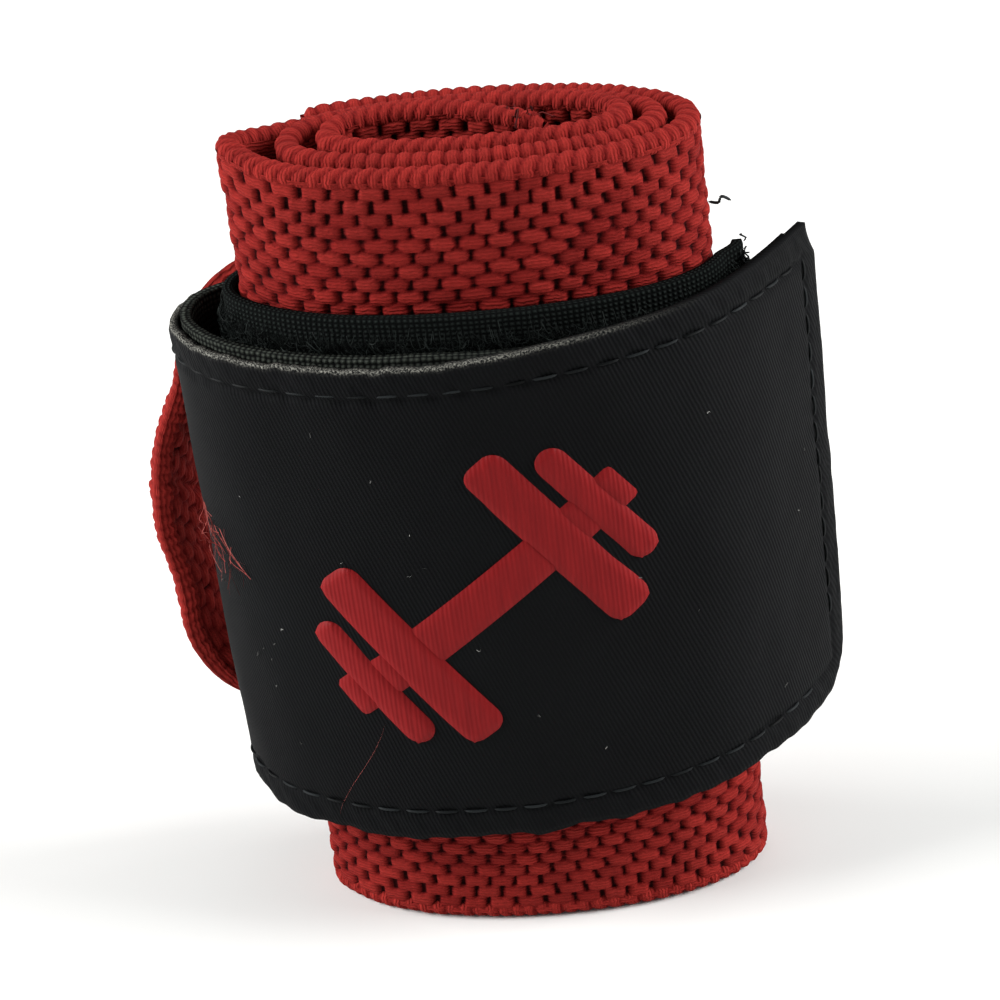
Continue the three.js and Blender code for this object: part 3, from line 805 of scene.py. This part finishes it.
def stitchRow(line):  # line gives (s, distance across) of the seam for a share of its length
    share = np.linspace(0, 1, 1500)
    s, b = line(share)
    reach = np.concatenate([[0], np.cumsum(np.hypot(np.diff(s), np.diff(b)))])
    paths = []
    for i in range(int(reach[-1] / tab["stitchPitch"])):
        t = i * tab["stitchPitch"] + tab["stitchLength"] * np.linspace(0, 1, 8)
        at = np.interp(t, reach, share)
        sAt, bAt = line(at)
        lie = 0.22 * np.sin(math.pi * np.linspace(0, 1, 8)) ** 0.7 - 0.24
        along = np.interp(sAt, tabReach, tabShares)
        low, high = tabEdges(along)
        z = np.where(bAt > tab["width"] / 2, high - (tab["width"] - bAt), low + bAt)
        paths.append(onTab(along, z, roll["seamGap"] / 2 + tab["cloth"] + lie))
    return paths


inset, widthNow = tab["stitchIn"], tab["width"]
seamPaths = [*stitchRow(lambda t: (foldReach + (tabLength - inset - foldReach) * t,
        np.full(np.shape(t), widthNow - inset))),
        *stitchRow(lambda t: (foldReach + (tabLength - tab["cornerRadius"] - foldReach) * t,
        np.full(np.shape(t), inset))),
        *stitchRow(lambda t: (np.full(np.shape(t), tabLength - inset),
        widthNow - inset - (widthNow - 2 * inset - 3) * t)),]
seamPiece = tubes("tab_seam_stitches", seamPaths, tab["stitchRadius"], 8, threadBlack)
print("seams sewn:", len(seamPaths), "stitches")

# Emblem: a plain dumbbell in satin stitch

emblem = {"height": 37.8, "slant": 38, "length": 35, "plate": 21, "row": 8.75, "raised": 0.34,
          "sample": 0.4, "plateCorner": 1.6, "barCorner": 0.5, "threadRidge": 0.003, "threadPitch": 0.84}
emblemBlocks = [  # from, to, tall, raised: bar, large plate, collar, small plate, bar end
    (0, 0.43, 0.2, 0.7), (0.4, 0.66, 1, 1), (0.63, 0.75, 0.2, 0.6), (0.72, 0.9, 0.7, 1), (0.87, 1, 0.2, 0.7),
]


def satinStitch():  # polyester embroidery thread laid up and down: a soft shine and uneven streaks
    material, tree, shader = newMaterial("redEmbroideryThread",
            {"Roughness": 0.55, "IOR": 1.5, "Metallic": 0.0, "Specular IOR Level": 0.08})
    flat = addNode(tree, "ShaderNodeUVMap", {"uv_map": "flat"}).outputs["UV"]
    squeezed = addNode(tree, "ShaderNodeMapping", {"Scale": (1, 0.1, 1)}, {"Vector": flat})
    threads = addNode(tree, "ShaderNodeTexWave",
            {"wave_type": "BANDS", "bands_direction": "X", "Scale": 0.314 / 0.42, "Distortion": 2.2,
            "Detail": 3.0, "Detail Scale": 2.0}, {"Vector": squeezed.outputs[0]})
    breaks = addNode(tree, "ShaderNodeTexNoise", {"Scale": 1.4, "Detail": 4.0, "Roughness": 0.6},
            {"Vector": squeezed.outputs[0]})
    tone = addNode(tree, "ShaderNodeMix", {**mixColours, 6: linear("#640E11"), 7: linear("#86191A")},
            {0: breaks.outputs["Fac"]}).outputs[2]
    dim = addNode(tree, "ShaderNodeMapRange", {1: 0.0, 2: 1.0, 3: 0.93, 4: 1.05}, {0: threads.outputs["Fac"]})
    colour = addNode(tree, "ShaderNodeMix", multiply, {6: tone, 7: dim.outputs[0]}).outputs[2]
    finishMaterial(tree, shader, colour, [(0.22, 0.00015, threads.outputs["Fac"])])
    return material


embroidery = satinStitch()


def emblemPiece():
    slant = math.radians(emblem["slant"])
    frontReach = float(np.interp(emblem["row"] / tabLastRow, tabShares, tabReach))
    base = roll["seamGap"] / 2 + tab["cloth"] + 0.02
    half = emblem["length"] / 2
    grids = []
    for sign in (-1, 1):
        for low, high, tall, raised in emblemBlocks:
            columns = max(3, int((high - low) * half / emblem["sample"]))
            rows = max(8, int(tall * emblem["plate"] / emblem["sample"]))
            x = np.linspace(low, high, columns) * half * sign
            y = np.linspace(-0.5, 0.5, rows) * tall * emblem["plate"]
            a, b = np.meshgrid(x, y, indexing="ij")
            nearX = np.minimum(np.abs(a) - low * half, high * half - np.abs(a))
            nearY = tall * emblem["plate"] / 2 - np.abs(b)
            openEnd = 9.0 if low == 0 else 0.0  # the bar's two halves meet without a rim
            rim = np.minimum(np.maximum(nearX, openEnd * (np.abs(a) < high * half - 1)), nearY)
            lift = emblem["raised"] * raised * np.sqrt(np.clip(rim / 0.7, 0, 1))
            corner = emblem["plateCorner"] if tall > 0.5 else emblem["barCorner"]
            cx = np.maximum(0, corner - nearX) if low > 0 else np.zeros(a.shape)
            cy = np.maximum(0, corner - nearY)
            over = np.maximum(1, np.hypot(cx, cy) / corner)
            middleX = (low + high) / 2 * half * sign
            a2 = np.where(cx > 0, a - np.sign(a - middleX) * cx * (1 - 1 / over), a)
            b2 = b - np.sign(b) * cy * (1 - 1 / over)
            sideways = a2 * math.cos(slant) - b2 * math.sin(slant)
            height = emblem["height"] + a2 * math.sin(slant) + b2 * math.cos(slant)
            s = frontReach + sideways
            ridge = emblem["threadRidge"] * np.sin(2 * math.pi * s / emblem["threadPitch"])
            points = onTab(np.interp(s, tabReach, tabShares), height, base + lift + ridge * (lift > 0.2))
            grids.append((points, np.stack([s, height], -1), 1.0, 0.5, sign < 0))
    return joinGrids("dumbbell_emblem", embroidery, grids)


emblemObject = emblemPiece()
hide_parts("emblem_dumbbell")
print("emblem stitched")

# Thumb loop

strap = {
    "width": 9.4, "thickness": 2.2, "reach": 9.8, "back": 13.3, "top": 59.5, "low": 17.6,
    "floatPitch": 2.5, "rowHeight": 1.35, "edgeRib": 1.3, "ribPitch": 1.1, "creaseAt": 0.47, "sway": 0.26,
    "cutWidth": 10,  # nominal width of such elastic, for its flat size
}
strapRows = [  # sewn place in rows of tabRows, or (out, back); height; bearing that its flat side faces
    (0.4, None, 1, 104), (1.5, None, 1, 108), (0.22, 1.02, 0.93, 128), (0.66, 0.99, 0.76, 146),
    (0.98, 1, 0.61, 155), (1.08, 1, 0.45, 155), (1, 1, 0.25, 155), (0.88, 1, 0.12, 150),
    (0.56, 1, 0.04, 136), (0.1, 1.02, 0.01, 118), (1.5, None, 0, 108), (0.4, None, 0, 104),
]


def strapWay():
    seat = roll["seamGap"] / 2 + tab["cloth"] + roll["seamGap"] + strap["thickness"] / 2
    places = []
    for first, back, height, _ in strapRows:
        z = np.array(strap["low"] + (strap["top"] - strap["low"]) * height)
        if back is None:
            places.append(onTab(np.array(first / tabLastRow), z, seat))
        else:
            leftBend = onBand(np.array(outerTurn(roll["pinchBearing"])), z, roll["bandThickness"] / 2)[0]
            behind = strap["back"] * back + roll["leanFront"] * z / roll["bandWidth"]
            places.append(np.array([leftBend - strap["reach"] * first, behind, z]))
    return smoothWay(places)


strapLine = strapWay()
strapShares, strapReach = lengthsAlong(strapLine)
strapLength = strapReach[-1]


def strapPlace(s, across, outside):
    share = np.interp(s, strapReach, strapShares)
    atRow = share * (len(strapRows) - 1)
    facing = np.radians(np.interp(atRow, range(len(strapRows)), [r[3] for r in strapRows]))
    run = strapLine(np.minimum(1, share + 1e-3)) - strapLine(np.maximum(0, share - 1e-3))
    flat = np.stack([np.cos(facing), np.sin(facing), np.zeros(facing.shape)], -1)
    wide = np.cross(flat, run)
    wide /= np.linalg.norm(wide, axis=-1, keepdims=True)
    face = np.cross(run, wide)
    face /= np.linalg.norm(face, axis=-1, keepdims=True)
    free = np.clip(np.sin(math.pi * share) * 1.6 - 0.5, 0, 1)  # only the free part sways
    sway = strap["sway"] * free * (np.sin(s / 2.7 + 0.6) + 0.6 * np.sin(s / 1.55))
    aside = wide * (strap["width"] * (across - 0.5) + sway)[..., None]
    return strapLine(share) + aside + face * np.asarray(outside)[..., None]


def strapForm(a, b):
    width = b * strap["width"]
    fromEdge = np.minimum(width, strap["width"] - width)
    row = np.floor((width - strap["edgeRib"]) / strap["rowHeight"])
    v = 2 * ((width - strap["edgeRib"]) / strap["rowHeight"] - row) - 1
    shift = np.where(row % 2 == 1, 0.5, 0.0)
    cell = np.floor(a / strap["floatPitch"] + shift)
    u = 2 * (a / strap["floatPitch"] + shift - cell) - 1
    floats = np.sqrt(np.clip(1 - np.abs(u) ** 3, 0, 1)) * np.sqrt(np.clip(1 - 0.85 * np.abs(v) ** 2.2, 0, 1))
    slanting = a / strap["ribPitch"] + 0.3 * fromEdge + 0.4 * np.sin(a / 5)
    ribs = 0.45 + 0.55 * np.abs(np.sin(math.pi * slanting)) ** 0.7
    onRib = 1 - smoothStep(fromEdge, strap["edgeRib"] - 0.2, strap["edgeRib"] + 0.2)
    relief = floats * (1 - onRib) + ribs * onRib
    pick = np.random.default_rng(9).random(2048)
    chance = pick[(cell.astype(int) * 71 + row.astype(int) * 13) % 2048]
    return relief, chance, fromEdge


def thumbLoop():
    along = np.arange(0, strapLength, 0.325)
    across = np.concatenate([[0, 0.012, 0.04], np.linspace(0.075, 0.925, 26), [0.96, 0.988, 1]])
    half = strap["thickness"] / 2

    def outer(a, b):
        relief, _, fromEdge = strapForm(a, b)
        body = np.sqrt(np.clip(fromEdge / 0.9, 0.04, 1))
        fromCrease = a - strap["creaseAt"] * strapLength + 0.55 * (b - 0.5) * strap["width"]
        crease = 0.6 * np.exp(-(fromCrease / 0.45) ** 2) * 3.4 * b * (1 - b)  # fades out at both edges
        pinch = 1 - crease + 0.15 * np.exp(-((fromCrease - 1.4) / 1.1) ** 2)
        lumps = 1 + 0.16 * waves(a, b * strap["width"], 61, 3.5)
        return ((half - 0.42) * body * lumps + 0.62 * relief * np.clip(fromEdge / 0.9, 0.2, 1)) * pinch

    a, b = np.meshgrid(along, across, indexing="ij")
    # relief also colours the yarn: painted shade between the floats and in the rib's grooves, painted light
    # on their crowns
    relief, chance, _ = strapForm(a, b)
    return closedSheet("thumb_loop_strap", strapPlace, along, across, outer, lambda a, b: -outer(a, b),
                       lambda a, b: np.stack([a, b * strap["width"]], -1), elasticYarn, relief, chance)


strapPiece = thumbLoop()
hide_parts("thumb_loop")
print(f"thumb loop woven, {strapLength:.1f} mm")

# Loose threads and lint

stray = {
    "tuftHairs": 30, "tuftPlace": (31, 42.8), "tuftReach": (5.6, -5.6),  # on the tab: along it, and height
    "hair": (51, 28.5, 44.4, 13),  # along the tab and height, at its start and at its end
    "hairWidth": 0.035, "hairShare": 0.6, "lint": 26, "lintWidth": 0.04,
    "frays": 13, "frayRadius": 0.085, "threadRadius": 0.15, "knotThreads": 9, "knotRadius": 0.09,
}
tuftHair = fibreMaterial("redFilament", "#7A2A28", "#B06058")
lintFibre = fibreMaterial("paleLint", "#5A5A58", "#9C9C98")
frayedYarn = fibreMaterial("frayedDarkYarn", "#200809", "#6E2826")


def wisps(starts, ends, curl, seed, steps=16):  # curled hairs from start to end
    draw = np.random.default_rng(seed)
    t = np.linspace(0, 1, steps)[None, :, None]
    starts, ends = np.atleast_2d(starts)[:, None], np.atleast_2d(ends)[:, None]
    paths = starts + (ends - starts) * t
    for turns in (1, 2, 3):
        push = draw.normal(0, curl / turns, (len(paths), 1, 3))
        paths = paths + push * np.sin(math.pi * turns * t + draw.uniform(0, 2,
                (len(paths), 1, 1)) * t) * np.minimum(1, 3 * t)
    return paths


def onCover(s, z, off):
    share = np.interp(s, tabReach, tabShares)
    return onTab(share, np.asarray(z, float), roll["seamGap"] / 2 + tab["cloth"] + np.asarray(off, float))


def strayPieces():
    draw = np.random.default_rng(71)
    n = stray["tuftHairs"]
    s, z = stray["tuftPlace"]
    starts = onCover(s + draw.uniform(-0.7, 0.5, n), z + draw.uniform(-0.6, 0.8, n), np.full(n, 0.1))
    ends = onCover(s + stray["tuftReach"][0] * draw.uniform(0.4, 1.3, n),
            z + stray["tuftReach"][1] * draw.uniform(0.5, 1.25, n), draw.uniform(0.2, 0.8, n))
    tuft = ribbons("thumb_loop_filaments", wisps(starts, ends, 0.55, 72), stray["hairWidth"], tuftHair, 73)
    t = np.linspace(0, 1, 30)
    s0, z0, s1, z1 = stray["hair"]
    hair = onCover(s0 + (s1 - s0) * t + 0.8 * np.sin(t * 5), z0 + (z1 - z0) * t, np.full(30, 0.06))[None]
    hairPiece = ribbons("tab_stray_hair", hair, stray["hairWidth"] * stray["hairShare"], tuftHair, 74)
    n = stray["lint"]
    s, z = draw.uniform(foldReach + 2, tabLength - 5, n), draw.uniform(16, 56, n)
    away, long = draw.uniform(0, 2 * math.pi, n), draw.uniform(0.1, 0.5, n)
    lint = wisps(onCover(s, z, np.full(n, 0.06)),
            onCover(s + long * np.cos(away), z + long * np.sin(away), np.full(n, 0.12)), 0.08, 75, 5)
    lintPiece = ribbons("tab_lint", lint, stray["lintWidth"], lintFibre, 76)
    n = stray["frays"]
    starts = bandPlace(turnAt(draw.uniform(0.2, 2.6, n)), np.full(n, roll["bandWidth"] - 0.5),
            draw.uniform(-0.9, 0.9, n))
    ends = starts + draw.normal(0, 0.5, (n, 3)) * [1.2, 1, 0.5] + [0.3, 0, 0.25]
    frays = tubes("inner_end_frays", wisps(starts, ends, 0.3, 77, 9), stray["frayRadius"], 5, frayedYarn)
    start = bandPlace(np.array([outerTurn(359)]), np.array([69.0]), np.array([1.1]))
    thread = wisps(start, start + [2.0, -0.2, 0.2], 0.32, 79, 12)
    threadPiece = tubes("band_stray_thread", thread, stray["threadRadius"], 6, threadBlack)
    n = stray["knotThreads"]
    starts = patchPlace(draw.uniform(356, patch["to"], n), draw.uniform(62.5, 64.8, n), np.full(n, 0.6))
    knot = wisps(starts, starts + draw.normal(0, 0.5, (n, 3)) + [0.3, -0.2, 0.1], 0.3, 80, 8)
    knotPiece = tubes("patch_end_threads", knot, stray["knotRadius"], 5, threadBlack)
    return tuft, hairPiece, lintPiece, frays, threadPiece, knotPiece


tuftPiece, hairPiece, lintPiece, fraysPiece, threadPiece, knotPiece = strayPieces()
print("loose threads laid")

# Floor, light and camera

studio = {
    "floor": "#DEDEDC", "background": "#F4F6F8", "worldStrength": 0.27,
    "left": ((-0.72, -0.04, 0.42), 0.5, 12.5),  # place in metres, size and power of each light
    "right": ((0.75, -0.06, 0.42), 0.5, 12),
    "top": ((0.1, 0.25, 0.85), 0.6, 1.2),
    "lightsAim": (0, 0, 0.04),
    "cameraPlace": (3.118, -256.625, 171.37), "cameraPitch": 27, "cameraRoll": 4.94, "lens": 108.245,
    "shift": (-0.02562, -0.00619),
}
floorMaterial, floorTree, floorShader = newMaterial("paintedBoard",
        {"Base Color": linear(studio["floor"]), "Roughness": 0.9, "IOR": 1.5})
bpy.ops.mesh.primitive_plane_add(size=6, location=(0, 0, 0))
floor = bpy.context.object
floor.name = "floor"
floor.data.materials.append(floorMaterial)

world = bpy.data.worlds.new("studio")
bpy.context.scene.world = world
world.use_nodes = True
world.node_tree.nodes["Background"].inputs["Color"].default_value = linear(studio["background"])
world.node_tree.nodes["Background"].inputs["Strength"].default_value = studio["worldStrength"]


def areaLight(name, place, size, power):
    light = bpy.data.objects.new(name, bpy.data.lights.new(name, "AREA"))
    light.data.size = size
    light.data.energy = power
    light.location = place
    light.rotation_euler = (Vector(studio["lightsAim"]) - Vector(place)).to_track_quat("-Z", "Y").to_euler()
    bpy.context.scene.collection.objects.link(light)


for side in ("left", "right", "top"):
    areaLight(side + "Light", *studio[side])

pitch, tilt = math.radians(studio["cameraPitch"]), math.radians(studio["cameraRoll"])
forward = Vector((0, math.cos(pitch), -math.sin(pitch)))
right, up = Vector((1, 0, 0)), Vector((0, math.sin(pitch), math.cos(pitch)))
cameraX = math.cos(tilt) * right - math.sin(tilt) * up
cameraY = math.sin(tilt) * right + math.cos(tilt) * up
camera = bpy.data.objects.new("camera", bpy.data.cameras.new("camera"))
turned = Matrix((cameraX, cameraY, -forward)).transposed().to_4x4()
camera.matrix_world = Matrix.Translation(Vector(studio["cameraPlace"]) / 1000) @ turned
camera.data.sensor_width = 36
camera.data.lens = studio["lens"]
camera.data.shift_x, camera.data.shift_y = studio["shift"]
camera.data.clip_start, camera.data.clip_end = 0.01, 20
bpy.context.scene.collection.objects.link(camera)
bpy.context.scene.camera = camera
bpy.context.scene.view_settings.view_transform = "Standard"

print("scene ready")
